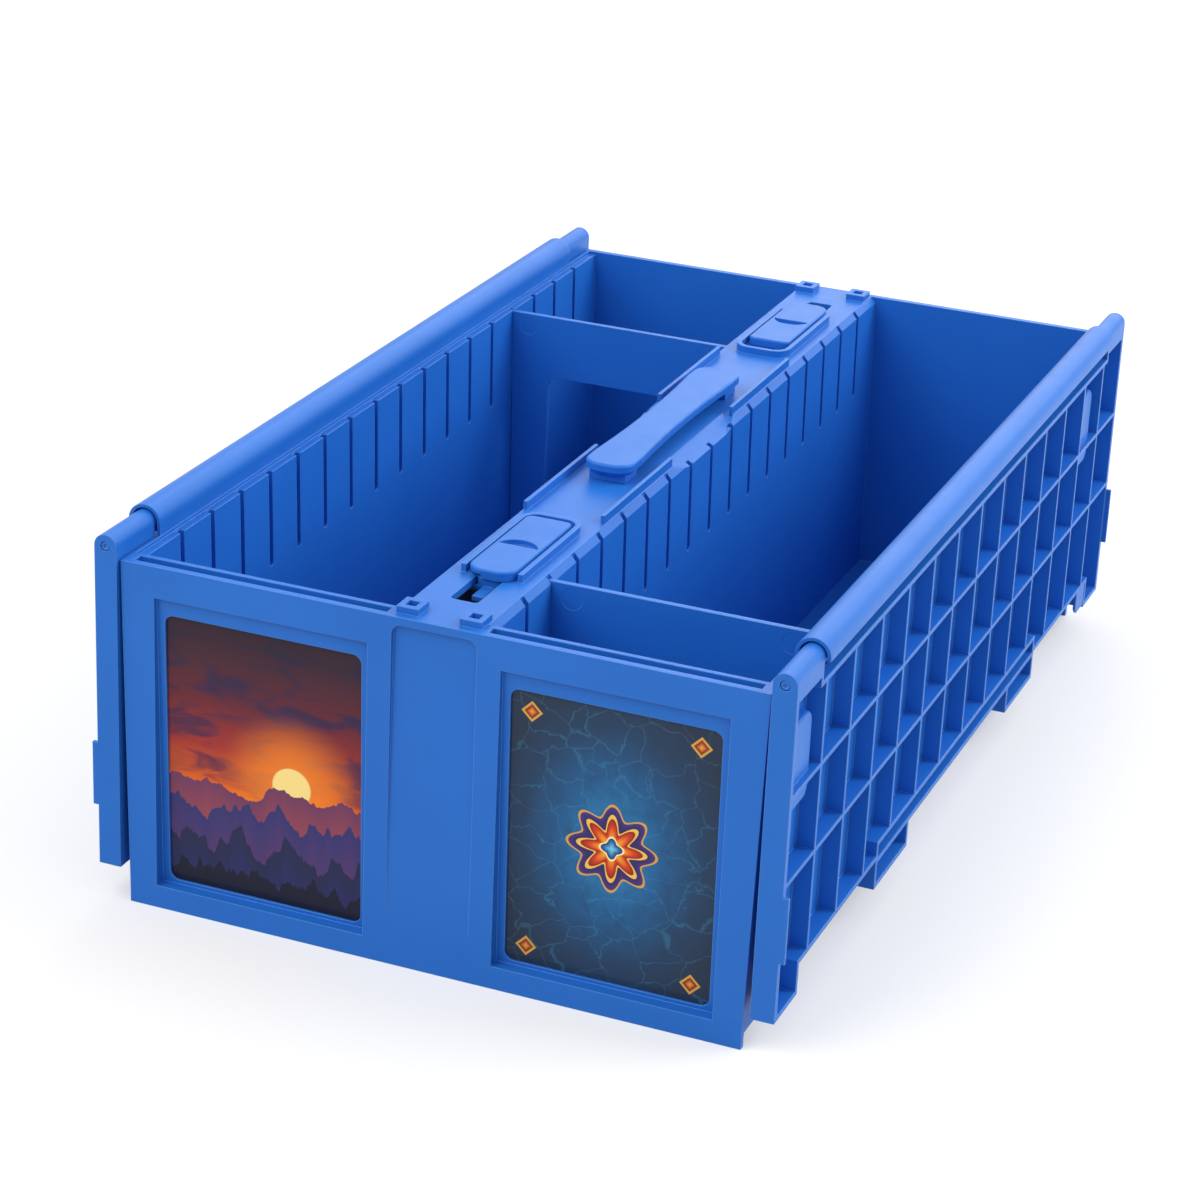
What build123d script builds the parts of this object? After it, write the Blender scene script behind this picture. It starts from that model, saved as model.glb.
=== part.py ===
"""Two-row card storage bin with hinged half lids.

The bin body is one moulding: two long rows on either side of a hollow spine,
with a double front wall that holds two display cards behind windows.  The
half lids hang open down the sides, each on two pins under a curled rim.  Two
latches slide on the spine deck and a handle lifts out of it.

Millimetres.  X runs across the bin, +Y to its back and +Z up.  The origin is
on the ground under the middle of the bin.
"""
import os
from math import atan, cos, degrees, pi

from build123d import *

# Bin body
body_length = 362.0  # outside, front to back
body_width = 205.0  # outside, across the rim
rim_height = 113.5  # rim and spine deck above the ground
side_draft = 2.0  # each side wall leans in by this much at its foot
side_wall = 3.8
back_wall = 2.4
floor_lift = 4.5  # underside of the floor above the ground
floor_thickness = 2.4
rim_wall = 1.2  # thin upstand outside the side ledge
ledge_drop = 1.2  # side ledge below the rim

# Front wall and display windows
front_panel = 2.2  # at its top edge
card_slot = 3.6  # gap between the front panel and the inner front wall, at the top
inner_front_wall = 1.6
slot_end_wall = 3.5
slot_inner = 16.0  # card slot to the middle of the bin
slot_floor = 7.0  # bottom of the card slot above the ground
slot_lean = 2.7  # front of the card slot lies this much deeper at its foot
window_wall = 0.8  # sunk surround of a window, in front of the card slot
window_width = 65.0
window_height = 89.2
window_sill = 8.8  # bottom of the window above the ground
window_side_gap = 13.8  # window to the side of the bin
window_corner = 3.0
recess_side = 2.6  # sunk surround beyond the window at each side
recess_top = 5.5
recess_bottom = 1.3
middle_width = 27.0  # sunk panel between the windows
middle_top_gap = 2.5
middle_bottom = 12.0
middle_depth = 1.5
middle_corner = 3.0

# Display cards, in their sleeves
card_width = 66.7
card_height = 92.1
card_thickness = 0.8
card_corner = 3.5

# Spine
deck_width = 27.6
shoulder_width = 1.9  # sloped shoulder at each side of the deck
shoulder_drop = 2.2
spine_draft = 2.0
spine_wall = 3.0
deck_thickness = 2.4
spine_end_web = 1.4  # front of the spine's hollow behind the front panel
spine_end_wall = 3.5  # side of the hollow beside the card slots

# Divider grooves and dividers
groove_count = 17
groove_front_gap = 23.3  # first groove to the front of the rows
groove_back_gap = 21.1  # last groove to their back
groove_width = 2.6
groove_depth = 1.8
groove_reach = 32.0  # length of a groove below the rim
divider_thickness = 1.9
divider_play = 0.3
divider_top_gap = 1.4  # top of a divider below the rim
divider_leg = 13.0
divider_window_top = 23.0  # window in a divider, below the divider's top
divider_window_corner = 4.0
divider_mark = 7.0  # diameter of the round mould mark
divider_mark_depth = 0.06
divider_mark_drop = 4.6  # middle of a mark below the divider's top
divider_mark_inset = 4.4  # and from the foot's end
right_divider_groove_count = 1  # empty grooves in front of the right divider
left_divider_groove_count = 13

# Hinges
lid_thickness = 7.4
lid_rest_gap = 0.3  # closed lid above the rim
curl_gap = 0.6  # lid knuckle to the inside of the curled rim
curl_wall = 1.1
curl_skirt = 1.0  # straight lip below the outer side of the curled rim
curl_inset = 22.0  # end of the curled rim to the end of the bin
web_length = 8.0  # bearing web inside each end of the curled rim
journal_length = 3.8  # lid knuckle inside the curled rim
hinge_play = 0.4  # end gaps at the hinge
pin_radius = 1.6
pin_clearance = 0.05  # pin in the lid knuckle
pin_seat_clearance = 0.02  # pin in the bearing web
pin_recess = 0.2  # pin end below the lid's end face
pin_chamfer = 0.3
pin_dimple_radius = 0.7
pin_dimple_depth = 0.4

# Lids
lid_overhang = 1.4  # beyond the bin body at each end
lid_end_wall = 2.2
lid_skin = 1.7
lid_wall = 1.5
lid_rib = 1.3
lid_columns = 14
lid_edge_start = 7.0  # long edge beside the curled rim, from the hinge axis
first_rib = 34.6  # ribs along the lid, from the hinge axis
second_rib = 62.3
gutter_rib_gap = 15.9  # rib behind the gutter to the middle of the closed bin
middle_gap = 1.0  # feet and tabs of a closed lid to the middle of the bin
notch_gap = 1.6  # closed lid's notch to the handle, at each side
notch_end_gap = 3.0
guide_gap = 1.1  # closed lid to the latch guide
tab_gap = 1.4
apron_middle_gap = 4.4  # thin apron over a latch's nose, to the middle of the closed bin
apron_length = 21.0
apron_thickness = 3.4
apron_ramp = 4.0  # curved rise from the apron to the foot beside it
apron_ramp_steps = 8
foot_gap = 6.5  # closed lid's foot to the lug inside it
lock_tab_gap = 1.5
lock_tab_thickness = 0.95
lock_tab_middle_gap = 2.5
lock_tab_foot_gap = 1.0
lock_tab_corner = 2.0
clip_start = 15.0  # rounded blocks across the first rib, from the hinge axis
clip_length = 27.5
clip_width = 18.0
clip_gap = 2.0  # block to the wall or rib in front of it
clip_drop = 2.0  # top of a block below the rib edges
clip_corner = 4.0
clip_edge = 1.2
lip_start = 65.0
lip_length = 21.0
lip_depth = 1.8
lip_gap = 0.25

# Latches
pad_width = 15.2
pad_length = 47.5
pad_height = 3.2  # top of the latch above the deck
pad_lift = 0.2
pad_corner = 5.5
tail_corner = 2.4
pad_edge = 0.7
latch_travel = 10.0
rear_latch_out = 5.0  # how far the rear latch stands out of its inner stop
slot_margin = 20.0  # end of a latch slot to the end of the bin
slot_show = 17.2  # open slot beyond a latch at its inner stop
slot_start_share = 0.6  # inner end of a slot, as a share of the latch's length from its tail
slot_width = 9.0
slot_corner = 1.5
latch_play = 0.3
tongue_length = 8.0  # low outer end of the stem, seen in the slot
tongue_width = 3.6
tongue_drop = 2.6
keeper_width = 12.5
keeper_thickness = 1.6
undercut_length = 12.0
grip_width = 13.2
grip_length = 5.0
grip_depth = 1.6
grip_from_nose = 22.0

# Latch guides, lugs and rails on the deck
guide_play = 0.8
guide_tail_gap = 3.0  # latch at its inner stop to the closed end of its guide
guide_wall = 1.6
guide_height = 2.6
guide_corner = 6.0
guide_end_gap = 3.0
lug_width = 7.0
lug_length = 7.5
lug_height = 2.2
lug_inset = 3.0
lug_middle_gap = 6.5  # lug to the middle of the bin
lug_hole_share = 0.5
rail_start = 28.0
rail_end_gap = 2.7
rail_offset = 12.4
rail_width = 1.2
rail_height = 3.0

# Handle
handle_length = 107.0
handle_width = 16.4
handle_waist = 1.4  # each side of the bar draws in by this much at its middle
handle_thickness = 4.2
handle_lift = 2.6  # underside of the bar above the deck
handle_corner = 6.0
handle_edge = 0.9
handle_underside = 1.6  # slope round the underside of the bar
handle_travel = 20.0
post_inset = 7.9  # middle of a post from the end of the bar
post_width = 11.0
post_length = 8.0
post_play = 0.3
collar_margin = 0.8
collar_play = 0.1
barb_depth = 1.2
barb_height = 4.0
scoop_length = 58.0
scoop_start = 10.0
scoop_drop = 3.0  # at the side of the spine
scoop_end_drop = 4.5  # of the arc that rounds the scoop's ends

overcut = 2.0  # how far a cutting shape runs past what it cuts

# Heights and distances that follow from the sizes above
half_length = body_length / 2
half_width = body_width / 2
foot_half_width = half_width - side_draft
slot_front = -half_length + front_panel
slot_back = slot_front + card_slot
slot_slope = slot_lean / (rim_height - slot_floor)
window_offset = half_width - window_side_gap - window_width / 2
row_front = slot_back + inner_front_wall
row_back = half_length - back_wall
floor_top = floor_lift + floor_thickness
ledge_height = rim_height - ledge_drop
deck_half = deck_width / 2
spine_half = deck_half + shoulder_width
deck_under = rim_height - deck_thickness
groove_bottom = rim_height - groove_reach
first_groove = row_front + groove_front_gap
groove_pitch = (row_back - groove_back_gap - first_groove) / (groove_count - 1)

lid_half_thickness = lid_thickness / 2
curl_inner = lid_half_thickness + curl_gap
curl_outer = curl_inner + curl_wall
hinge_x = half_width + curl_inner
hinge_z = rim_height + lid_rest_gap + lid_half_thickness
curl_half = half_length - curl_inset
web_end = curl_half - journal_length - hinge_play
web_start = web_end - web_length
knuckle_start = curl_half + hinge_play

slot_end = half_length - slot_margin
pad_half = pad_width / 2
pad_nose = slot_end - slot_show
pad_tail = pad_nose - pad_length
guide_inner = pad_tail - guide_tail_gap
guide_back = guide_inner - guide_wall
guide_half = pad_half + guide_play
guide_end = pad_nose - guide_end_gap
stem_nose = slot_end - latch_play - latch_travel
slot_start = pad_tail + pad_length * slot_start_share
lug_end = half_length - lug_inset
lug_start = lug_end - lug_length

handle_half = handle_length / 2
post_y = handle_half - post_inset

lid_half = half_length + lid_overhang
lid_pocket_end = lid_half - lid_end_wall
column_pitch = (2 * lid_half - lid_end_wall) / lid_columns
foot_reach = hinge_x - middle_gap
notch_reach = hinge_x - handle_width / 2 - notch_gap
edge_reach = hinge_x - guide_half - guide_wall - guide_gap
apron_reach = hinge_x - apron_middle_gap
gutter_rib = hinge_x - gutter_rib_gap
tab_reach = hinge_x - lock_tab_middle_gap
notch_half = handle_half + notch_end_gap
tab_half = guide_back - tab_gap
foot_start = lug_start - foot_gap - lid_wall
apron_end = foot_start - apron_length
rail_end = tab_half - lid_wall - rail_end_gap
lock_tab_start = pad_nose + rear_latch_out + lock_tab_gap
lock_tab_end = foot_start - lock_tab_foot_gap


def block(x0, x1, y0, y1, z0, z1):
    """A box between two opposite corners."""
    corner = (Align.MIN, Align.MIN, Align.MIN)
    return Pos(x0, y0, z0) * Box(x1 - x0, y1 - y0, z1 - z0, align=corner)


def along_y(points, y0, y1):
    """A prism with its outline in X and Z, from y0 to y1."""
    plane = Plane((0, y1, 0), (1, 0, 0), (0, -1, 0))
    outline = plane * Polygon(*points, align=None)
    return extrude(outline, amount=y1 - y0, dir=(0, -1, 0))


def along_x(points, x0, x1):
    """A prism with its outline in Y and Z, from x0 to x1."""
    plane = Plane((x0, 0, 0), (0, 1, 0), (1, 0, 0))
    outline = plane * Polygon(*points, align=None)
    return extrude(outline, amount=x1 - x0, dir=(1, 0, 0))


def rod(x, z, y0, y1, radius):
    """A cylinder along Y from y0 to y1."""
    return Pos(x, (y0 + y1) / 2, z) * Rot(90, 0, 0) * Cylinder(radius, y1 - y0)


def upright(sketch, z0, z1):
    """A sketch in X and Y, raised from z0 to z1."""
    return extrude(Pos(0, 0, z0) * sketch, amount=z1 - z0, dir=(0, 0, 1))


def panel_cut(sketch, x, z, depth):
    """A sketch cut straight into the outside of the front panel."""
    plane = Plane((x, -half_length - overcut, z), (1, 0, 0), (0, -1, 0))
    return extrude(plane * sketch, amount=depth + overcut, dir=(0, 1, 0))


def mirror_x(shape):
    return mirror(shape, about=Plane.YZ)


def mirror_y(shape):
    return mirror(shape, about=Plane.XZ)


def four(shape):
    """The shape and its mirror images in the other three corners."""
    both = [shape, mirror_x(shape)]
    return both + [mirror_y(each) for each in both]


def groove_y(index):
    """Where along the bin a divider groove lies."""
    return first_groove + index * groove_pitch


def slot_face(z):
    """How far along the bin the sloping front of a card slot lies at a height."""
    return slot_front + slot_slope * (rim_height - z)


def make_body_shell():
    """The two rows, the hollow spine and the walls round them."""
    rim_cut = rim_height + overcut
    outside = [
        (-foot_half_width, floor_lift),
        (foot_half_width, floor_lift),
        (half_width, rim_height),
        (-half_width, rim_height),
    ]
    row = [
        (spine_half + spine_draft, floor_top),
        (foot_half_width - side_wall, floor_top),
        (half_width - side_wall, ledge_height),
        (half_width - rim_wall, ledge_height),
        (half_width - rim_wall, rim_cut),
        (deck_half, rim_cut),
        (deck_half, rim_height),
        (spine_half, rim_height - shoulder_drop),
    ]
    hollow_top = spine_half - spine_wall
    hollow_foot = hollow_top + spine_draft
    hollow = [
        (-hollow_foot, floor_lift - overcut),
        (hollow_foot, floor_lift - overcut),
        (hollow_top, deck_under - shoulder_drop),
        (hollow_top - shoulder_width, deck_under),
        (shoulder_width - hollow_top, deck_under),
        (-hollow_top, deck_under - shoulder_drop),
    ]
    front_core = slot_inner - spine_end_wall
    core_front = slot_front + spine_end_web
    shell = along_y(outside, -half_length, half_length)
    shell += block(-foot_half_width, foot_half_width, -half_length, slot_front, 0, floor_lift)
    shell += block(-foot_half_width, foot_half_width, row_back, half_length, 0, floor_lift)
    right_row = along_y(row, row_front, row_back)
    shell -= [right_row, mirror_x(right_row), along_y(hollow, row_front, row_back)]
    shell -= block(-front_core, front_core, core_front, row_front, floor_lift - overcut, deck_under)
    return shell


def front_cuts():
    """Card slots, windows and the sunk panels of the front wall."""
    slot_outer = half_width - slot_end_wall
    slot = [
        (slot_back, slot_floor),
        (slot_back, rim_height + overcut),
        (slot_front, rim_height + overcut),
        (slot_front, rim_height),
        (slot_face(slot_floor), slot_floor),
    ]
    slot = along_x(slot, slot_inner, slot_outer)
    window_middle = window_sill + window_height / 2
    window = RectangleRounded(window_width, window_height, window_corner)
    opening = panel_cut(window, window_offset, window_middle, front_panel + slot_lean)
    recess_foot = window_sill - recess_bottom
    recess_head = window_sill + window_height + recess_top
    recess_half = window_width / 2 + recess_side
    recess = [
        (-half_length - overcut, recess_foot),
        (slot_face(recess_foot) - window_wall, recess_foot),
        (slot_face(recess_head) - window_wall, recess_head),
        (-half_length - overcut, recess_head),
    ]
    recess = along_x(recess, window_offset - recess_half, window_offset + recess_half)
    middle_top = rim_height - middle_top_gap
    middle_height = middle_top - middle_bottom
    sunk = RectangleRounded(middle_width, middle_height, middle_corner)
    sunk = panel_cut(sunk, 0, middle_bottom + middle_height / 2, middle_depth)
    ramp = [
        (-half_length - overcut, middle_top),
        (-half_length + middle_depth, middle_top),
        (-half_length, middle_bottom),
        (-half_length - overcut, middle_bottom),
    ]
    sunk = sunk & along_x(ramp, -middle_width, middle_width)
    cuts = [slot, opening, recess]
    return cuts + [mirror_x(each) for each in cuts] + [sunk]


def groove_cuts():
    """Divider grooves in the side walls and in both sides of the spine."""
    wall_face = half_width - side_wall
    spans = [
        (spine_half - groove_depth, spine_half + spine_draft + overcut),
        (wall_face - side_draft - overcut, wall_face + groove_depth),
    ]
    cuts = []
    for x0, x1 in spans:
        half = groove_width / 2
        straight = block(x0, x1, -half, half, groove_bottom, rim_height + overcut)
        foot = Pos((x0 + x1) / 2, 0, groove_bottom) * Rot(0, 90, 0) * Cylinder(half, x1 - x0)
        groove = straight + foot
        for index in range(groove_count):
            placed = Pos(0, groove_y(index), 0) * groove
            cuts += [placed, mirror_x(placed)]
    return cuts


def curled_rim():
    """The half pipe along the right side, with a bearing web in each end."""
    ring = Circle(curl_outer) - Circle(curl_inner)
    ring &= Pos(0, curl_outer) * Rectangle(2 * curl_outer, 2 * curl_outer)
    plane = Plane((hinge_x, curl_half, hinge_z), (1, 0, 0), (0, -1, 0))
    rim = extrude(plane * ring, amount=2 * curl_half, dir=(0, -1, 0))
    stem_foot = ledge_height - ledge_drop
    rim += block(half_width - curl_wall, half_width, -curl_half, curl_half, stem_foot, hinge_z)
    lip_in = hinge_x + curl_inner
    lip_out = hinge_x + curl_outer
    rim += block(lip_in, lip_out, -curl_half, curl_half, hinge_z - curl_skirt, hinge_z)
    web_radius = curl_inner + curl_wall / 2
    web = rod(hinge_x, hinge_z, web_start, web_end, web_radius)
    seat = rod(hinge_x, hinge_z, web_start, web_end, pin_radius + pin_seat_clearance)
    rim += [web, mirror_y(web)]
    rim -= [seat, mirror_y(seat)]
    return rim


def latch_guide():
    """The raised U that the rear latch slides in."""
    reach = guide_end - guide_back
    outer = RectangleRounded(2 * (guide_half + guide_wall), 2 * reach, guide_corner)
    inner_corner = guide_corner - guide_wall
    inner = RectangleRounded(2 * guide_half, 2 * (reach - guide_wall), inner_corner)
    ridge = (outer - inner) & Pos(0, -reach) * Rectangle(pad_length, 2 * reach)
    return upright(Pos(0, guide_end) * ridge, rim_height, rim_height + guide_height)


def deck_parts():
    """Latch guides, lugs and rails that stand on the spine deck."""
    lug_outer = lug_middle_gap + lug_width
    lug = block(lug_middle_gap, lug_outer, lug_start, lug_end, rim_height, rim_height + lug_height)
    lug_hole = Rectangle(lug_width * lug_hole_share, lug_length * lug_hole_share)
    lug_centre = Pos(lug_middle_gap + lug_width / 2, lug_start + lug_length / 2)
    lug -= upright(lug_centre * lug_hole, rim_height, rim_height + lug_height)
    rail_side = rail_offset + rail_width
    rail_top = rim_height + rail_height
    rail = block(rail_offset, rail_side, rail_start, rail_end, rim_height, rail_top)
    guide = latch_guide()
    return four(lug) + four(rail) + [guide, mirror_y(guide)]


def deck_cuts():
    """Latch slots, handle post holes and the finger scoop in the deck."""
    slot_length = slot_end - slot_start
    slot = RectangleRounded(slot_width, slot_length, slot_corner)
    slot = Pos(0, slot_start + slot_length / 2) * slot
    slot = upright(slot, deck_under - overcut, rim_height + overcut)
    hole = Rectangle(post_width + 2 * post_play, post_length + 2 * post_play)
    hole = upright(Pos(0, post_y) * hole, deck_under - overcut, rim_height + overcut)
    scoop_foot = rim_height - scoop_drop
    scoop = [
        (scoop_start, rim_height + overcut),
        (scoop_start, rim_height),
        (spine_half, scoop_foot),
        (spine_half + overcut, scoop_foot),
        (spine_half + overcut, rim_height + overcut),
    ]
    scoop = along_y(scoop, -scoop_length / 2, scoop_length / 2)
    arc_radius = (scoop_length**2 / 4 + scoop_end_drop**2) / (2 * scoop_end_drop)
    arc = Rot(0, 90, 0) * Cylinder(arc_radius, 2 * half_width)
    scoop = scoop & Pos(0, 0, rim_height - scoop_end_drop + arc_radius) * arc
    return [slot, mirror_y(slot), hole, mirror_y(hole), scoop, mirror_x(scoop)]


def make_body():
    body = make_body_shell()
    body -= front_cuts() + groove_cuts() + deck_cuts()
    rim = curled_rim()
    body += [rim, mirror_x(rim)] + deck_parts()
    return body


def lid_outline():
    """The lid seen square on, from the hinge axis (X) to its free edge."""
    side = [
        (foot_reach, lid_half),
        (foot_reach, foot_start),
        (edge_reach, foot_start),
        (edge_reach, tab_half),
        (foot_reach, tab_half),
        (foot_reach, notch_half),
        (notch_reach, notch_half),
    ]
    apron = [
        (foot_reach, -lid_half),
        (foot_reach, -foot_start),
        (apron_reach, -foot_start),
        (apron_reach, -apron_end),
        (edge_reach, -apron_end),
    ]
    hinge_side = [
        (0, lid_half),
        (0, knuckle_start),
        (lid_edge_start, knuckle_start),
        (lid_edge_start, -knuckle_start),
        (0, -knuckle_start),
        (0, -lid_half),
    ]
    mirrored = [(u, -v) for u, v in side[3:]]
    return hinge_side + apron + mirrored + side[::-1]


def lid_pockets():
    """The cells between the lid's ribs, open on its underside."""
    half_rib = lid_rib / 2
    floor = lid_skin - lid_half_thickness
    top = lid_half_thickness + overcut
    rows = [
        (lid_edge_start + lid_wall, first_rib - half_rib),
        (first_rib + half_rib, second_rib - half_rib),
    ]
    # The last row runs out to the free edge and, beside the gutter along the
    # handle, stops at the gutter's own rib.
    edge = edge_reach - lid_wall
    steps = [
        (-lid_pocket_end, -tab_half, edge),
        (-tab_half, tab_half, gutter_rib - lid_wall),
        (tab_half, lid_pocket_end, edge),
    ]
    cells = []
    for column in range(lid_columns):
        middle = lid_columns / 2
        start = max((column - middle) * column_pitch + half_rib, -lid_pocket_end)
        end = min((column + 1 - middle) * column_pitch - half_rib, lid_pocket_end)
        cells += [block(u0, u1, start, end, floor, top) for u0, u1 in rows]
        for v0, v1, reach in steps:
            low = max(start, v0)
            high = min(end, v1)
            if low < high:
                cells.append(block(second_rib + half_rib, reach, low, high, floor, top))
    knuckle_wall = lid_half_thickness + lid_wall
    cell_side = knuckle_start + lid_wall
    corner = block(knuckle_wall, first_rib - half_rib, cell_side, lid_pocket_end, floor, top)
    tab_side = tab_half - lid_wall
    notch_side = notch_half + lid_wall
    gutter = block(gutter_rib, notch_reach - lid_wall, -tab_side, tab_side, floor, top)
    tab_cell = block(notch_reach, foot_reach - lid_wall, notch_side, tab_side, floor, top)
    foot_side = foot_start + lid_wall
    foot_cell = block(
        second_rib + half_rib, foot_reach - lid_wall, foot_side, lid_pocket_end, floor, top
    )
    cells += [gutter, corner, tab_cell, foot_cell]
    return cells + [mirror_y(corner), mirror_y(tab_cell), mirror_y(foot_cell)]


def apron_relief():
    """The space under the apron, which curves up into the foot beside it."""
    floor = apron_thickness - lid_half_thickness
    rise = lid_half_thickness - floor
    top = lid_half_thickness + overcut
    profile = [(-foot_start, top)]
    for step in range(apron_ramp_steps + 1):
        share = step / apron_ramp_steps
        v = apron_ramp * share - foot_start
        profile.append((v, floor + rise * (1 + cos(pi * share)) / 2))
    profile += [(overcut - apron_end, floor), (overcut - apron_end, top)]
    return along_x(profile, edge_reach, foot_reach)


def make_lid():
    """A half lid lying with its underside up and its hinge axis on Y."""
    low = -lid_half_thickness
    high = lid_half_thickness
    lid = upright(Polygon(*lid_outline(), align=None), low, high)
    journal = rod(0, 0, curl_half - journal_length, lid_half, lid_half_thickness)
    lid += [journal, mirror_y(journal)]
    lid -= lid_pockets() + [apron_relief()]
    clip = RectangleRounded(clip_length, clip_width, clip_corner)
    clip = Pos(clip_start + clip_length / 2, 0) * upright(clip, low, high - clip_drop)
    clip = fillet(clip.faces().sort_by(Axis.Z)[-1].edges(), clip_edge)
    clip_offset = clip_gap + clip_width / 2
    front_clip = Pos(0, clip_offset - lid_pocket_end, 0) * clip
    rear_rib = column_pitch * (lid_columns / 2 - 2)
    rear_clip = Pos(0, rear_rib + lid_rib / 2 + clip_offset, 0) * clip
    lip_side = half_length + lip_gap
    lip = block(lip_start, lip_start + lip_length, lip_side, lid_half, 0, high + lip_depth)
    tab = [
        (edge_reach - lid_wall, lock_tab_start),
        (tab_reach - lock_tab_corner, lock_tab_start),
        (tab_reach, lock_tab_start + lock_tab_corner),
        (tab_reach, lock_tab_end),
        (edge_reach - lid_wall, lock_tab_end),
    ]
    tab = upright(Polygon(*tab, align=None), high - lock_tab_thickness, high)
    lid += [front_clip, rear_clip, lip, mirror_y(lip), tab]
    bore = rod(0, 0, curl_half - journal_length, lid_half, pin_radius + pin_clearance)
    lid -= [bore, mirror_y(bore)]
    return lid


def make_pin():
    """The right rear hinge pin."""
    end = lid_half - pin_recess
    pin = rod(hinge_x, hinge_z, web_start, end, pin_radius)
    pin = chamfer(pin.edges().filter_by(GeomType.CIRCLE), pin_chamfer)
    pin -= rod(hinge_x, hinge_z, end - pin_dimple_depth, end + overcut, pin_dimple_radius)
    return pin


def make_latch():
    """The rear latch at its inner stop."""
    low = rim_height + pad_lift
    high = rim_height + pad_height
    pad = Pos(0, pad_tail + pad_length / 2) * RectangleRounded(pad_width, pad_length, pad_corner)
    tail = RectangleRounded(pad_width, pad_length / 2, tail_corner)
    pad = upright(pad + Pos(0, pad_tail + pad_length / 4) * tail, low, high)
    pad = fillet(pad.faces().sort_by(Axis.Z)[-1].edges(), pad_edge)
    arc_radius = (grip_width**2 / 4 + grip_length**2) / (2 * grip_length)
    grip = Pos(0, grip_length - arc_radius) * Circle(arc_radius)
    grip = grip & Pos(0, grip_length / 2) * Rectangle(grip_width, grip_length)
    grip = Pos(0, pad_nose - grip_from_nose) * Rot(0, 0, 180) * grip
    pad -= upright(grip, high - grip_depth, high + overcut)
    tab_top = hinge_z - lid_half_thickness + lock_tab_thickness
    undercut_side = lock_tab_middle_gap - latch_play
    undercut_start = pad_nose - undercut_length
    ceiling = tab_top + latch_play
    pad -= block(undercut_side, pad_width, undercut_start, slot_end, rim_height, ceiling)
    stem_half = slot_width / 2 - latch_play
    stem_start = slot_start + latch_play
    step_start = stem_nose - tongue_length
    under = deck_under - pad_lift
    keeper_foot = under - keeper_thickness
    stem_length = step_start - stem_start
    stem = RectangleRounded(2 * stem_half, stem_length, slot_corner)
    stem = Pos(0, stem_start + stem_length / 2) * stem
    pad += upright(stem, keeper_foot, low)
    tongue_half = tongue_width / 2
    tongue_start = step_start - tongue_length / 2
    tongue_top = rim_height - tongue_drop
    pad += block(-tongue_half, tongue_half, tongue_start, stem_nose, keeper_foot, tongue_top)
    keeper_half = keeper_width / 2
    pad += block(-keeper_half, keeper_half, stem_start, step_start, keeper_foot, under)
    return pad


def handle_outline(inset):
    """The bar seen from above, narrower in the middle, drawn in by an inset."""
    width = handle_width - 2 * inset
    length = handle_length - 2 * inset
    waist_end = post_y - post_length / 2
    waist_radius = (waist_end**2 + handle_waist**2) / (2 * handle_waist)
    waist_x = width / 2 - handle_waist + waist_radius
    waist = Pos(waist_x, 0) * Circle(waist_radius)
    return RectangleRounded(width, length, handle_corner - inset) - [waist, mirror_x(waist)]


def make_handle():
    """The carrying handle, let down into the deck."""
    low = rim_height + handle_lift
    middle = low + handle_underside
    high = low + handle_thickness
    bar = upright(handle_outline(0), middle, high)
    bar = fillet(bar.faces().sort_by(Axis.Z)[-1].edges(), handle_edge)
    underside = (Pos(0, 0, low) * handle_outline(handle_underside)).face()
    rim = (Pos(0, 0, middle) * handle_outline(0)).face()
    bar += loft([underside, rim], ruled=True)
    collar = Rectangle(post_width + 2 * collar_margin, post_length + 2 * collar_margin)
    collar = upright(Pos(0, post_y) * collar, rim_height + collar_play, middle)
    barb_top = deck_under - handle_travel - post_play
    barb_foot = barb_top - barb_height
    post = Pos(0, post_y) * Rectangle(post_width, post_length)
    post = upright(post, barb_foot, middle)
    barb = Pos(0, post_y) * Rectangle(post_width, post_length + 2 * barb_depth)
    barb = upright(barb, barb_foot, barb_top)
    legs = [collar, post, barb]
    return bar + legs + [mirror_y(each) for each in legs]


def make_divider():
    """The right divider, standing on the floor at the middle of the bin."""
    top = rim_height - divider_top_gap
    ear_in = spine_half - groove_depth + divider_play
    ear_out = half_width - side_wall + groove_depth - divider_play
    lean = (rim_height - groove_bottom) / (rim_height - floor_top)
    ear_foot = groove_bottom + divider_play
    body_in = spine_half + divider_play + spine_draft * lean
    body_out = half_width - side_wall - divider_play - side_draft * lean
    foot_in = spine_half + spine_draft + divider_play
    foot_out = foot_half_width - side_wall - divider_play
    outline = [
        (ear_in, top),
        (ear_in, ear_foot),
        (body_in, ear_foot),
        (foot_in, floor_top),
        (foot_out, floor_top),
        (body_out, ear_foot),
        (ear_out, ear_foot),
        (ear_out, top),
    ]
    half = divider_thickness / 2
    plate = along_y(outline, -half, half)
    window_top = top - divider_window_top
    window_foot = floor_top + divider_leg
    window_in = foot_in + divider_leg
    window_out = foot_out - divider_leg
    plane = Plane(
        ((window_in + window_out) / 2, half + overcut, (window_top + window_foot) / 2),
        (1, 0, 0),
        (0, -1, 0),
    )
    opening = RectangleRounded(
        window_out - window_in, window_top - window_foot, divider_window_corner
    )
    plate -= extrude(plane * opening, amount=2 * overcut + divider_thickness, dir=(0, -1, 0))
    mark_z = top - divider_mark_drop
    mark_face = divider_mark_depth - half
    mark = rod(foot_in + divider_mark_inset, mark_z, -half, mark_face, divider_mark / 2)
    other = rod(foot_out - divider_mark_inset, mark_z, -half, mark_face, divider_mark / 2)
    return plate - [mark, other]


def make_card():
    """The right display card, leaning in its slot against the window surround."""
    card = RectangleRounded(card_width, card_height, card_corner)
    card = Pos(0, card_height / 2) * card
    lean = Rot(90 + degrees(atan(slot_slope)), 0, 0)
    card = extrude(lean * card, amount=card_thickness, dir=(0, 1, slot_slope))
    return Pos(window_offset, slot_face(slot_floor), slot_floor) * card


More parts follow.
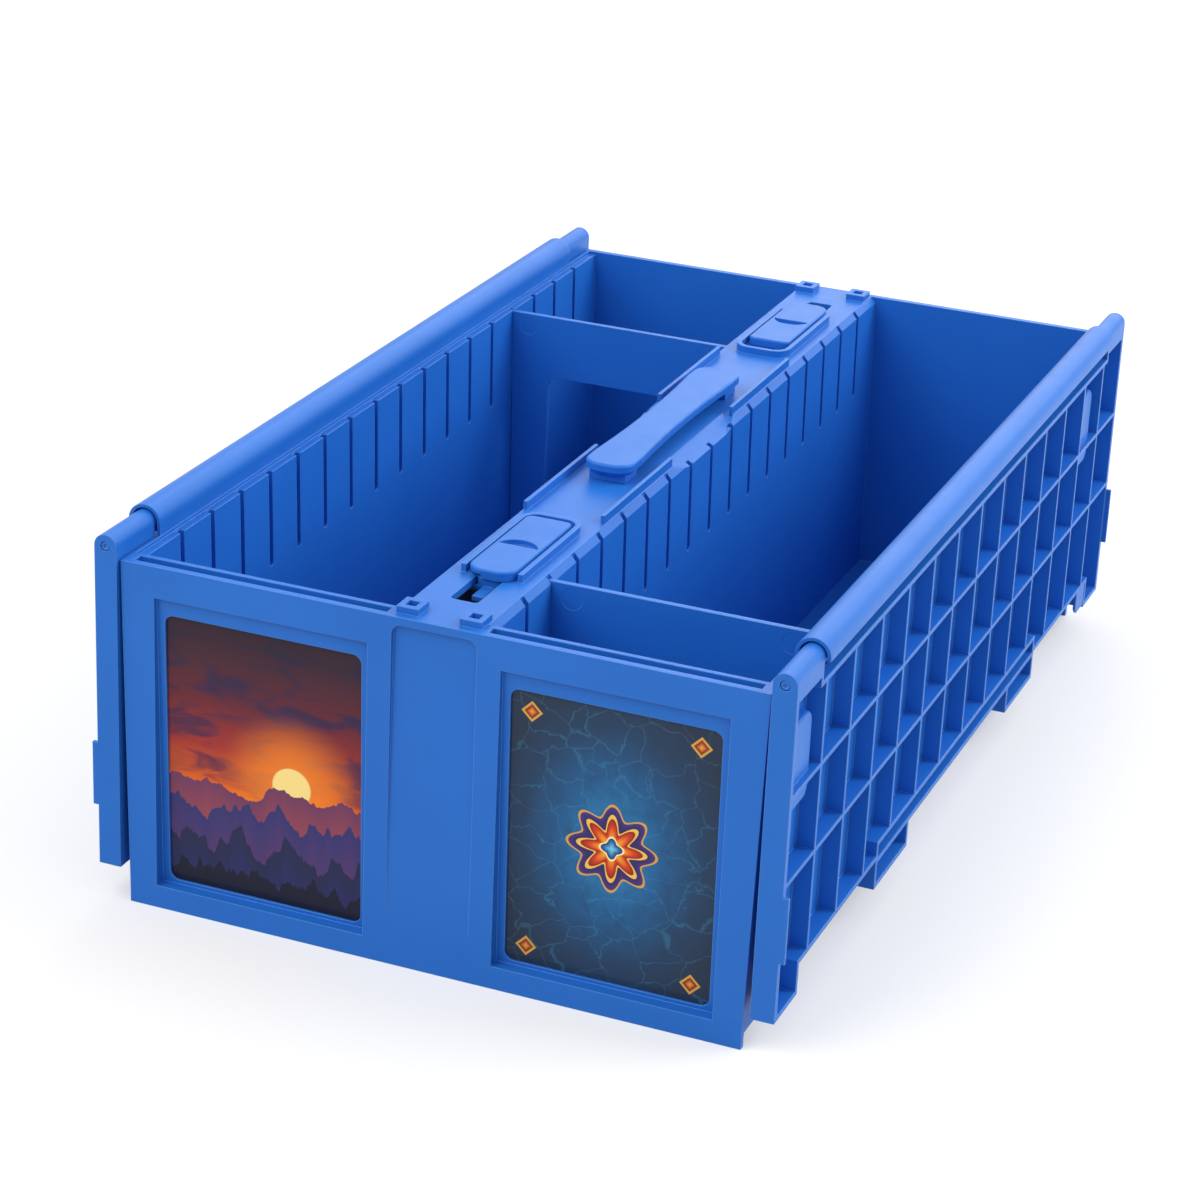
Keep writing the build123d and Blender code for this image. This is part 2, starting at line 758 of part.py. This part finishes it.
def main():
    lid_right = Pos(hinge_x, 0, hinge_z) * Rot(0, 90, 0) * make_lid()
    pin = make_pin()
    latch = make_latch()
    divider = make_divider()
    card = make_card()
    turn = Rot(0, 0, 180)
    nodes = {
        "bin_body": make_body(),
        "lid_right": lid_right,
        "lid_left": turn * lid_right,
        "hinge_pin_right_rear": pin,
        "hinge_pin_right_front": mirror_y(pin),
        "hinge_pin_left_rear": mirror_x(pin),
        "hinge_pin_left_front": turn * pin,
        "latch_rear": Pos(0, rear_latch_out, 0) * latch,
        "latch_front": turn * latch,
        "handle": make_handle(),
        "divider_right": Pos(0, groove_y(right_divider_groove_count), 0) * divider,
        "divider_left": Pos(0, groove_y(left_divider_groove_count), 0) * mirror_x(divider),
        "display_card_right": card,
        "display_card_left": mirror_x(card),
    }
    os.makedirs("parts", exist_ok=True)
    for name, shape in nodes.items():
        export_step(shape, f"parts/{name}.step")
        box = shape.bounding_box()
        print(name, len(shape.solids()), round(shape.volume), box.min, box.max)


main()
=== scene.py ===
# %% [markdown]
# # A two-row card storage bin
# The real object is moulded in blue polypropylene: a tub with two long rows, two
# ribbed half lids that hang open at its sides, and a spine with two latches and a
# carrying handle.  The solids come from the CAD model, so this script does not
# rebuild them, and it adds no piece.  It gives them their finishes and sets up a
# plain studio with the photograph's view.

# %% Load the frame
import math

import bpy
import numpy as np
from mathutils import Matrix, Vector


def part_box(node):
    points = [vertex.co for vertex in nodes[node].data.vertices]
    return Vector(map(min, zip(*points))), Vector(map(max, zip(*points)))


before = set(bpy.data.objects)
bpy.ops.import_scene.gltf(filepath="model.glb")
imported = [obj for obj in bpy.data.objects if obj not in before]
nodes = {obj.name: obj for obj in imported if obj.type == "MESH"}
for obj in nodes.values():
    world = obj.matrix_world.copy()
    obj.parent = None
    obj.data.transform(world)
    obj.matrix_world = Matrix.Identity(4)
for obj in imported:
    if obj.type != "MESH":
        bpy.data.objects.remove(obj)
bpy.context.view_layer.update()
MM = 0.001
print("nodes:", ", ".join(sorted(nodes)))

# %% [markdown]
# ## Colours and nodes
# A colour is easiest to pick as the sRGB hex value that the eye compares with a
# photograph, but a shader works on linear light, so one function converts it.  One
# more small function adds a shader node, sets its properties and links its inputs,
# which keeps each material below readable from top to bottom.

# %% Helpers for materials
BELOW, ABOVE, MIXED = 6, 7, 2  # colour sockets of a Mix node, which has a set for each type of data


def linear(code):
    """sRGB hex to linear: c / 12.92 up to 0.04045, else ((c + 0.055) / 1.055) ** 2.4."""
    srgb = np.array([int(code[i:i + 2], 16) for i in (1, 3, 5)]) / 255
    rgb = np.where(srgb <= 0.04045, srgb / 12.92, ((srgb + 0.055) / 1.055) ** 2.4)
    return (*rgb.tolist(), 1.0)


def add(tree, kind, inputs=(), **settings):
    """Add a node; an input is either a value or the output socket of another node."""
    node = tree.nodes.new(kind)
    for name, value in settings.items():
        setattr(node, name, value)
    for name, value in dict(inputs).items():
        if isinstance(value, bpy.types.NodeSocket):
            tree.links.new(value, node.inputs[name])
        else:
            node.inputs[name].default_value = value
    return node


def blank_material(name):
    """A material with an empty node tree."""
    material = bpy.data.materials.new(name)
    material.use_nodes = True
    material.node_tree.nodes.clear()
    return material, material.node_tree


def set_stops(ramp, stops):
    """Give a colour ramp its stops, as pairs of position and hex colour."""
    elements = ramp.color_ramp.elements
    while len(elements) < len(stops):
        elements.new(1.0)
    for element, (position, code) in zip(elements, stops):
        element.position = position
        element.color = linear(code)


def finish_piece(piece, material):
    """Give a piece one material in place of those it came with."""
    piece.data.materials.clear()
    piece.data.materials.append(material)


print("mid grey #808080 is", round(linear("#808080")[0], 3), "in linear light")

# %% [markdown]
# ## Moulded polypropylene
# The plastic is a mass-coloured polypropylene from a polished steel mould with a
# very fine spark-eroded grain.  It looks satin: soft, broad highlights, a colour
# that is the same right through, and faint clouding where the melt flowed.  No
# moulded edge is sharp: the tool leaves a radius of a few tenths of a millimetre,
# and that radius shows as a thin bright line along every rib and rim.  Bevelling
# thousands of CAD triangles leaves stray slivers, so the Bevel node turns the
# normals near an edge instead, and a painted highlight makes the edge itself a
# little paler.
# The grain of a real mould is about 0.1 mm, too fine to show, so it is drawn at
# 0.6 mm and kept shallow.

# %% The blue plastic
EDGE_RADIUS = 0.36 * MM
EDGE_SAMPLES = 6
FLAT_TURN, EDGE_TURN = 0.99, 0.80  # cosine of a normal's turn where an edge starts and where it is full
# share of the painted edge highlight in the colour where an edge is full
EDGE_HIGHLIGHT_SHARE = 0.6
FLOW_WIDTH = 38 * MM  # clouds of the melt
RUB_WIDTH = 7 * MM  # patches of uneven gloss
RUB_LOW, RUB_HIGH = 0.3, 0.7  # noise values that give the lowest and the highest roughness
SATIN_LOW, SATIN_HIGH = 0.38, 0.43
GRAIN_WIDTH = 0.6 * MM
GRAIN_DEPTH = 0.05 * MM
GRAIN_STRENGTH = 0.10


def polypropylene(name, base, cloud, edge_highlight):
    """Satin moulded plastic: clouded base colour, uneven gloss, fine grain, rounded edges with a painted
    pale highlight.
    """
    material, tree = blank_material(name)
    place = add(tree, "ShaderNodeTexCoord").outputs["Object"]
    flow = add(tree, "ShaderNodeTexNoise", {"Vector": place, "Scale": 1 / FLOW_WIDTH, "Detail": 3.0})
    tint = add(tree, "ShaderNodeValToRGB", {"Fac": flow.outputs["Fac"]})
    set_stops(tint, [(0.30, base), (0.75, cloud)])
    rounded = add(tree, "ShaderNodeBevel", {"Radius": EDGE_RADIUS}, samples=EDGE_SAMPLES)
    facing = add(tree, "ShaderNodeNewGeometry")
    turn = add(tree, "ShaderNodeVectorMath", {
        0: rounded.outputs["Normal"], 1: facing.outputs["True Normal"]}, operation="DOT_PRODUCT")
    # painted highlight: near an edge the colour is mixed towards a pale blue
    edge = add(tree, "ShaderNodeMapRange", {
        "Value": turn.outputs["Value"], "From Min": FLAT_TURN, "From Max": EDGE_TURN,
        "To Min": 0.0, "To Max": EDGE_HIGHLIGHT_SHARE})
    colour = add(tree, "ShaderNodeMix", {
        "Factor": edge.outputs["Result"], BELOW: tint.outputs["Color"], ABOVE: linear(edge_highlight)},
        data_type="RGBA")
    rub = add(tree, "ShaderNodeTexNoise", {"Vector": place, "Scale": 1 / RUB_WIDTH, "Detail": 4.0})
    gloss = add(tree, "ShaderNodeMapRange", {
        "Value": rub.outputs["Fac"], "From Min": RUB_LOW, "From Max": RUB_HIGH,
        "To Min": SATIN_LOW, "To Max": SATIN_HIGH})
    grain = add(tree, "ShaderNodeTexNoise", {"Vector": place, "Scale": 1 / GRAIN_WIDTH, "Detail": 2.0})
    bump = add(tree, "ShaderNodeBump", {
        "Height": grain.outputs["Fac"], "Strength": GRAIN_STRENGTH, "Distance": GRAIN_DEPTH,
        "Normal": rounded.outputs["Normal"]})
    shader = add(tree, "ShaderNodeBsdfPrincipled", {
        "Base Color": colour.outputs[MIXED], "Roughness": gloss.outputs["Result"],
        "Normal": bump.outputs["Normal"], "IOR": 1.49, "Specular IOR Level": 0.26})
    add(tree, "ShaderNodeOutputMaterial", {"Surface": shader.outputs["BSDF"]})
    return material


# the last colour is the pale blue of the painted edge highlight
blue_plastic = polypropylene("polypropylene_moulded_blue", "#2069C2", "#246DC8", "#7FB2F6")
moulded = [name for name in nodes if not name.startswith("display_card")]
for name in moulded:
    finish_piece(nodes[name], blue_plastic)
print("material:", blue_plastic.name, "on", len(moulded), "pieces")

# %% [markdown]
# ## Display cards
# Each window shows a printed card in a clear sleeve.  The print is ink on board, and
# the sleeve is a thin glossy film that lies over it and is never quite flat.  A
# picture file is not needed: the designs are drawn in nodes from the distance to the
# middle of the card in millimetres, so they stay sharp at any size.  Each layer of ink
# is a Mix node, which covers the layers below it where its factor is 1.  The coat of
# the shader stands for the film.  Faces that do not look to the front are bare board.

# %% Helpers for printed cards
FRONT_LIMIT = -0.5  # a face whose normal has a smaller Y than this looks to the front
FILM_WAVE = 22 * MM  # width of the film's waves
FILM_DEPTH = 0.6 * MM
FILM_STRENGTH = 0.35
BARE_BOARD = "#C9CBD0"


def card_place(tree, node):
    """Millimetres to the right of and above the middle of a card, and the two as a vector."""
    low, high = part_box(node)
    middle = (low + high) / 2
    place = add(tree, "ShaderNodeTexCoord").outputs["Object"]
    flat = add(tree, "ShaderNodeMapping", {
        "Vector": place, "Scale": (1 / MM, 0.0, 1 / MM),
        "Location": (-middle.x / MM, 0.0, -middle.z / MM)}).outputs["Vector"]
    axes = add(tree, "ShaderNodeSeparateXYZ", {"Vector": flat})
    return axes.outputs["X"], axes.outputs["Z"], flat


def sleeve(tree, ink):
    """Ink under a clear film on front faces, pale board on the others."""
    facing = add(tree, "ShaderNodeTexCoord").outputs["Normal"]
    depth = add(tree, "ShaderNodeSeparateXYZ", {"Vector": facing}).outputs["Y"]
    front = add(tree, "ShaderNodeMath", {0: depth, 1: FRONT_LIMIT}, operation="LESS_THAN")
    colour = add(tree, "ShaderNodeMix", {
        "Factor": front.outputs[0], BELOW: linear(BARE_BOARD), ABOVE: ink}, data_type="RGBA")
    place = add(tree, "ShaderNodeTexCoord").outputs["Object"]
    wave = add(tree, "ShaderNodeTexNoise", {"Vector": place, "Scale": 1 / FILM_WAVE, "Detail": 1.0})
    film = add(tree, "ShaderNodeBump", {
        "Height": wave.outputs["Fac"], "Strength": FILM_STRENGTH, "Distance": FILM_DEPTH})
    shader = add(tree, "ShaderNodeBsdfPrincipled", {
        "Base Color": colour.outputs[MIXED], "Roughness": 0.5, "IOR": 1.5, "Specular IOR Level": 0.15,
        "Coat Weight": 0.18, "Coat Roughness": 0.08, "Coat Normal": film.outputs["Normal"]})
    add(tree, "ShaderNodeOutputMaterial", {"Surface": shader.outputs["BSDF"]})


print("cards:", [name for name in sorted(nodes) if name.startswith("display_card")])

# %% [markdown]
# ## The left card: hills at dusk
# The left card is a dark picture with a warm middle.  Dusk over hills gives the same
# balance: a ramp over the height makes the sky, a second one over the distance from
# a low sun makes its glow, and stretched noise makes bands of cloud.  Each range of
# hills is a wandering height, so whatever lies below it takes the range's colour.

# %% Sky at dusk
SKY_HALF = 44.0  # mm from the middle of the card to the ends of the sky's ramp
CLOUD_LENGTH, CLOUD_HEIGHT = 22, 7  # mm
CLOUD_TILT = math.radians(12)
BANK_START, BANK_FULL, BANK_SHARE = 0.47, 0.62, 0.85  # noise where clouds start and are full, their cover

dusk_print, tree = blank_material("printed_board_dusk")
across, up, flat = card_place(tree, "display_card_left")
height = add(tree, "ShaderNodeMapRange", {
    "Value": up, "From Min": -SKY_HALF, "From Max": SKY_HALF}).outputs["Result"]
sky = add(tree, "ShaderNodeValToRGB", {"Fac": height})
set_stops(sky, [(0.28, "#F9A934"), (0.40, "#E2641A"), (0.55, "#A2332C"), (0.72, "#66242F"),
                (0.88, "#43202F"), (1.0, "#2B1828")])
cloud_place = add(tree, "ShaderNodeMapping", {
    "Vector": flat, "Scale": (1 / CLOUD_LENGTH, 1.0, 1 / CLOUD_HEIGHT), "Rotation": (0.0, CLOUD_TILT, 0.0)})
cloud = add(tree, "ShaderNodeTexNoise", {
    "Vector": cloud_place.outputs["Vector"], "Scale": 1.0, "Detail": 6.0, "Distortion": 0.8})
bank = add(tree, "ShaderNodeMapRange", {
    "Value": cloud.outputs["Fac"], "From Min": BANK_START, "From Max": BANK_FULL, "To Max": BANK_SHARE})
shade = add(tree, "ShaderNodeValToRGB", {"Fac": height})
set_stops(shade, [(0.30, "#B23E28"), (0.50, "#522443"), (0.75, "#2B2148"), (1.0, "#201A30")])
ink = add(tree, "ShaderNodeMix", {
    "Factor": bank.outputs["Result"], BELOW: sky.outputs["Color"], ABOVE: shade.outputs["Color"]},
    data_type="RGBA").outputs[MIXED]
print("sky and clouds:", len(tree.nodes), "nodes")

# %% Sun
SUN_PLACE = (9.0, 0.0, -4.0)  # mm from the middle of the card
SUN_RADIUS, SUN_BLUR = 6.4, 0.2
GLOW_REACH, GLOW_CORE, GLOW_SHARE = 26.0, 6.0, 0.75  # mm where the glow ends and is full, its cover

sun_gap = add(tree, "ShaderNodeVectorMath", {0: flat, 1: SUN_PLACE}, operation="DISTANCE").outputs["Value"]
glow = add(tree, "ShaderNodeMapRange", {
    "Value": sun_gap, "From Min": GLOW_REACH, "From Max": GLOW_CORE, "To Max": GLOW_SHARE},
    interpolation_type="SMOOTHSTEP")
ink = add(tree, "ShaderNodeMix", {
    "Factor": glow.outputs["Result"], BELOW: ink, ABOVE: linear("#FF8A24")},
    data_type="RGBA").outputs[MIXED]
disc = add(tree, "ShaderNodeMapRange", {
    "Value": sun_gap, "From Min": SUN_RADIUS + SUN_BLUR, "From Max": SUN_RADIUS - SUN_BLUR})
ink = add(tree, "ShaderNodeMix", {
    "Factor": disc.outputs["Result"], BELOW: ink, ABOVE: linear("#FFE08A")},
    data_type="RGBA").outputs[MIXED]
print("sun", 2 * SUN_RADIUS, "mm across")

# %% Ranges of hills
RANGE_SHIFT = 7.3  # step along the noise from one range to the next
CREST_BLUR = 0.2  # mm
FADE_SHARE = 0.8  # of a range's rise, over which its colour goes from top to foot
ranges = [  # middle height, rise and width of the humps in mm, colour of the top and the foot
    (-8.0, 22.0, 17.0, "#6E3A5E", "#A44A4A"),
    (-16.0, 26.0, 12.0, "#33336E", "#5A3A6A"),
    (-27.0, 24.0, 9.0, "#232648", "#2C2E66"),
    (-37.0, 16.0, 6.0, "#15172A", "#1B1D33"),
]
for number, (middle, rise, width, top, foot) in enumerate(ranges):
    spot = add(tree, "ShaderNodeMath", {
        0: across, 1: 1 / width, 2: RANGE_SHIFT * number}, operation="MULTIPLY_ADD")
    ridge = add(tree, "ShaderNodeTexNoise", {
        "W": spot.outputs[0], "Scale": 1.0, "Detail": 4.0, "Roughness": 0.55}, noise_dimensions="1D")
    crest = add(tree, "ShaderNodeMath", {
        0: ridge.outputs["Fac"], 1: rise, 2: middle - rise / 2}, operation="MULTIPLY_ADD")
    below = add(tree, "ShaderNodeMath", {0: crest.outputs[0], 1: up}, operation="SUBTRACT").outputs[0]
    cover = add(tree, "ShaderNodeMapRange", {"Value": below, "From Min": 0.0, "From Max": CREST_BLUR})
    fade = add(tree, "ShaderNodeMapRange", {"Value": below, "From Min": 0.0, "From Max": rise * FADE_SHARE})
    slope = add(tree, "ShaderNodeMix", {
        "Factor": fade.outputs["Result"], BELOW: linear(top), ABOVE: linear(foot)}, data_type="RGBA")
    ink = add(tree, "ShaderNodeMix", {
        "Factor": cover.outputs["Result"], BELOW: ink, ABOVE: slope.outputs[MIXED]},
        data_type="RGBA").outputs[MIXED]
sleeve(tree, ink)
finish_piece(nodes["display_card_left"], dusk_print)
print("material:", dusk_print.name, "with", len(tree.nodes), "nodes")

# %% [markdown]
# ## The right card: a rosette on slate
# The right card is the back of a playing card: slate blue, paler in the middle, with
# fine veins as in stone and one ornament.  A rosette is drawn in polar form: the
# radius is divided by a wavy outline, so the ratio is 1 on the outline whatever the
# angle, and one colour ramp over the ratio prints all of its rings.  The diamonds in
# the corners come from |x| + |y|, measured from a point that is folded into each.

# %% Slate ground
POOL_SHARES = (0.85, 1.0, 0.62)  # the pale middle reaches farther along the smaller ones
POOL_START, POOL_END = 4.0, 32.0  # mm
BEND_WIDTH, BEND_REACH = 12, 16.0  # mm, the noise that bends the veins, and how far
STONE_WIDTH = 11  # mm from vein to vein
VEIN_WIDTH_SHARE, VEIN_SHARE = 0.022, 0.16  # of a stone's width, and how much ink covers
MOTTLE_WIDTH = 5  # mm
MOTTLE_START, MOTTLE_FULL, MOTTLE_SHARE = 0.45, 0.75, 0.4

slate_print, tree = blank_material("printed_board_slate")
across, up, flat = card_place(tree, "display_card_right")
spread = add(tree, "ShaderNodeVectorMath", {0: flat, 1: POOL_SHARES}, operation="MULTIPLY")
reach = add(tree, "ShaderNodeVectorMath", {0: spread.outputs["Vector"]}, operation="LENGTH")
pool = add(tree, "ShaderNodeMapRange", {
    "Value": reach.outputs["Value"], "From Min": POOL_START, "From Max": POOL_END})
stone = add(tree, "ShaderNodeValToRGB", {"Fac": pool.outputs["Result"]})
set_stops(stone, [(0.0, "#2A7CB2"), (0.35, "#1F5A8C"), (0.70, "#203E5E"), (1.0, "#223146")])
wander = add(tree, "ShaderNodeTexNoise", {"Vector": flat, "Scale": 1 / BEND_WIDTH, "Detail": 5.0})
bend = add(tree, "ShaderNodeVectorMath", {
    0: wander.outputs["Color"], 1: (BEND_REACH, 0.0, BEND_REACH), 2: flat}, operation="MULTIPLY_ADD")
crack = add(tree, "ShaderNodeTexVoronoi", {
    "Vector": bend.outputs["Vector"], "Scale": 1 / STONE_WIDTH}, feature="DISTANCE_TO_EDGE")
vein = add(tree, "ShaderNodeMapRange", {
    "Value": crack.outputs["Distance"], "From Min": VEIN_WIDTH_SHARE, "From Max": 0.0, "To Max": VEIN_SHARE})
ink = add(tree, "ShaderNodeMix", {
    "Factor": vein.outputs["Result"], BELOW: stone.outputs["Color"], ABOVE: linear("#4FB2DE")},
    data_type="RGBA").outputs[MIXED]
mottle = add(tree, "ShaderNodeTexNoise", {"Vector": flat, "Scale": 1 / MOTTLE_WIDTH, "Detail": 5.0})
patch = add(tree, "ShaderNodeMapRange", {
    "Value": mottle.outputs["Fac"], "From Min": MOTTLE_START, "From Max": MOTTLE_FULL,
    "To Max": MOTTLE_SHARE})
ink = add(tree, "ShaderNodeMix", {
    "Factor": patch.outputs["Result"], BELOW: ink, ABOVE: linear("#22344C")},
    data_type="RGBA").outputs[MIXED]
print("slate ground:", len(tree.nodes), "nodes")

# %% Rosette
OUTLINE_BLUR_SHARE = 0.015  # of the outline's radius
radius = add(tree, "ShaderNodeVectorMath", {0: flat}, operation="LENGTH").outputs["Value"]
angle = add(tree, "ShaderNodeMath", {0: up, 1: across}, operation="ARCTAN2").outputs[0]
rosettes = [  # petals, mean radius and wave in mm, rings from the middle to the outline
    (8, 12.5, 2.0, [(0.0, "#2E2452"), (0.80, "#372A66"), (0.93, "#4A3580"), (0.94, "#D9A23C")]),
    (8, 8.6, 2.6, [(0.0, "#FFD95E"), (0.30, "#F7A02A"), (0.62, "#D8431E"), (0.86, "#8E1E1E"),
                   (0.88, "#F3C254")]),
    (4, 3.4, 0.7, [(0.0, "#7FD6E8"), (0.55, "#2C6FB0"), (0.82, "#1C2C66"), (0.84, "#FFE9A0")]),
]
for petals, mean, wave, rings in rosettes:
    turns = add(tree, "ShaderNodeMath", {0: angle, 1: petals}, operation="MULTIPLY").outputs[0]
    swing = add(tree, "ShaderNodeMath", {0: turns}, operation="COSINE").outputs[0]
    outline = add(tree, "ShaderNodeMath", {0: swing, 1: wave, 2: mean}, operation="MULTIPLY_ADD").outputs[0]
    ratio = add(tree, "ShaderNodeMath", {0: radius, 1: outline}, operation="DIVIDE").outputs[0]
    paint = add(tree, "ShaderNodeValToRGB", {"Fac": ratio})
    set_stops(paint, rings)
    inside = add(tree, "ShaderNodeMapRange", {
        "Value": ratio, "From Min": 1.0, "From Max": 1.0 - OUTLINE_BLUR_SHARE})
    ink = add(tree, "ShaderNodeMix", {
        "Factor": inside.outputs["Result"], BELOW: ink, ABOVE: paint.outputs["Color"]},
        data_type="RGBA").outputs[MIXED]
print("rosettes:", len(rosettes))

# %% Diamonds in the corners
GEM_PLACE = (26.0, 0.0, 38.5)  # mm from the middle of the card
GEM_RADIUS, GEM_BLUR = 3.4, 0.1
folded = add(tree, "ShaderNodeVectorMath", {0: flat}, operation="ABSOLUTE")
offset = add(tree, "ShaderNodeVectorMath", {
    0: folded.outputs["Vector"], 1: GEM_PLACE}, operation="SUBTRACT")
offset = add(tree, "ShaderNodeVectorMath", {0: offset.outputs["Vector"]}, operation="ABSOLUTE")
diamond = add(tree, "ShaderNodeVectorMath", {
    0: offset.outputs["Vector"], 1: (1.0, 0.0, 1.0)}, operation="DOT_PRODUCT").outputs["Value"]
share = add(tree, "ShaderNodeMapRange", {"Value": diamond, "From Max": GEM_RADIUS})
gem = add(tree, "ShaderNodeValToRGB", {"Fac": share.outputs["Result"]})
set_stops(gem, [(0.0, "#F0A838"), (0.45, "#B5431F"), (0.62, "#5A1E34"), (0.78, "#D9A23C")])
inside = add(tree, "ShaderNodeMapRange", {
    "Value": diamond, "From Min": GEM_RADIUS, "From Max": GEM_RADIUS - GEM_BLUR})
ink = add(tree, "ShaderNodeMix", {
    "Factor": inside.outputs["Result"], BELOW: ink, ABOVE: gem.outputs["Color"]},
    data_type="RGBA").outputs[MIXED]
sleeve(tree, ink)
finish_piece(nodes["display_card_right"], slate_print)
print("material:", slate_print.name, "with", len(tree.nodes), "nodes")

# %% [markdown]
# ## The studio
# A product picture of a bin has a white ground and soft light from above.  The floor
# is white paper.  So that it looks as white as paper under full studio light, what
# the camera sees of it gets a little extra glow, which lights nothing else, and the
# shadow under the bin stays.  Farther out the lamps fade, so the glow grows there.  The
# main lamp hangs in front, high up at the left, so the front is lit evenly and the ribs
# of the lid at the right turn their dark sides to the camera.  A lamp at the right
# lifts the ledges and the skin between the ribs, and a weak one behind is mirrored in
# the deck and along the edges.

# %% Rays that see the white ground
WHITE = (1.0, 1.0, 1.0, 1.0)


def seen_rays(tree):
    """1 for rays from the camera and for those mirrored or passed on to it, else 0."""
    path = add(tree, "ShaderNodeLightPath")
    total = path.outputs["Is Camera Ray"]
    for kind in ("Is Glossy Ray", "Is Transmission Ray"):
        larger = add(tree, "ShaderNodeMath", {0: total, 1: path.outputs[kind]}, operation="MAXIMUM")
        total = larger.outputs[0]
    return total


# %% Floor
FLOOR_HALF = 6.0
GLOW_NEAR, GLOW_FAR = 0.36, 0.60  # beside the bin, and out of the lamps' reach
FADE_START, FADE_END = 0.5, 2.4  # metres from the bin
corners = np.array([[-1, -1, 0], [1, -1, 0], [1, 1, 0], [-1, 1, 0]]) * FLOOR_HALF
floor_mesh = bpy.data.meshes.new("floor")
floor_mesh.from_pydata(corners.tolist(), [], [(0, 1, 2, 3)])
floor = bpy.data.objects.new("floor", floor_mesh)
bpy.context.collection.objects.link(floor)
paper, tree = blank_material("paper_white")
matt = add(tree, "ShaderNodeBsdfDiffuse", {"Color": linear("#C8C8C8")})
place = add(tree, "ShaderNodeTexCoord").outputs["Object"]
away = add(tree, "ShaderNodeVectorMath", {0: place}, operation="LENGTH").outputs["Value"]
extra = add(tree, "ShaderNodeMapRange", {
    "Value": away, "From Min": FADE_START, "From Max": FADE_END, "To Min": GLOW_NEAR, "To Max": GLOW_FAR})
strength = add(tree, "ShaderNodeMath", {
    0: seen_rays(tree), 1: extra.outputs["Result"]}, operation="MULTIPLY")
glow = add(tree, "ShaderNodeEmission", {"Color": WHITE, "Strength": strength.outputs[0]})
both = add(tree, "ShaderNodeAddShader", {0: matt.outputs["BSDF"], 1: glow.outputs["Emission"]})
add(tree, "ShaderNodeOutputMaterial", {"Surface": both.outputs["Shader"]})
floor_mesh.materials.append(paper)
print("floor", FLOOR_HALF * 2, "m across")

# %% World
AMBIENT = 0.70
world = bpy.data.worlds.new("studio")
bpy.context.scene.world = world
world.use_nodes = True
tree = world.node_tree
tree.nodes.clear()
strength = add(tree, "ShaderNodeMapRange", {"Value": seen_rays(tree), "To Min": AMBIENT, "To Max": 1.0})
ground = add(tree, "ShaderNodeBackground", {"Color": WHITE, "Strength": strength.outputs["Result"]})
add(tree, "ShaderNodeOutputWorld", {"Surface": ground.outputs["Background"]})
print("ambient light", AMBIENT)

# %% Lamps
def softbox(name, position, target, size, power):
    """A square area lamp at a position, facing a target."""
    data = bpy.data.lights.new(name, "AREA")
    data.size = size
    data.energy = power
    lamp = bpy.data.objects.new(name, data)
    bpy.context.collection.objects.link(lamp)
    back = np.array(position) - np.array(target)
    level = math.hypot(back[0], back[1])
    lamp.location = position
    lamp.rotation_euler = (math.atan2(level, back[2]), 0.0, math.atan2(back[0], -back[1]))


lamps = [  # name, position and target in metres, width in metres, watts
    ("front_softbox", (-0.8, -0.95, 1.4), (0.0, 0.0, 0.06), 1.6, 20.5),
    ("right_fill", (1.35, 0.5, 1.0), (0.0, 0.0, 0.06), 1.0, 19.0),
    ("rear_softbox", (0.0, 1.3, 0.85), (0.0, 0.0, 0.1), 1.2, 6.5),
]
for lamp in lamps:
    softbox(*lamp)
print("lamps:", [lamp[0] for lamp in lamps])

# %% [markdown]
# ## The camera
# The photograph looks down on the front right corner from about a metre away.  Its
# place and angles were worked out from the regular grid of ribs on the lid, whose
# spacing is known, and the lens follows from how strongly that grid shrinks.

# %% Camera
SENSOR_WIDTH = 36.0  # mm
PHOTO_WIDTH = 1200  # pixels
PHOTO_FOCAL = 3335.4  # pixels
CAMERA_PLACE = (0.36234, -0.97897, 0.49313)  # metres
CAMERA_ANGLES = (67.084, -2.455, 22.383)  # degrees about X, Y and Z
NEAR_LIMIT, FAR_LIMIT = 0.05, 50.0  # metres

camera_data = bpy.data.cameras.new("photo_view")
camera_data.sensor_width = SENSOR_WIDTH
camera_data.lens = SENSOR_WIDTH * PHOTO_FOCAL / PHOTO_WIDTH
camera_data.clip_start = NEAR_LIMIT
camera_data.clip_end = FAR_LIMIT
camera = bpy.data.objects.new("photo_view", camera_data)
camera.location = CAMERA_PLACE
camera.rotation_euler = [math.radians(a) for a in CAMERA_ANGLES]
bpy.context.collection.objects.link(camera)
bpy.context.scene.camera = camera
bpy.context.scene.view_settings.view_transform = "Standard"
print("lens", round(camera_data.lens, 1), "mm")
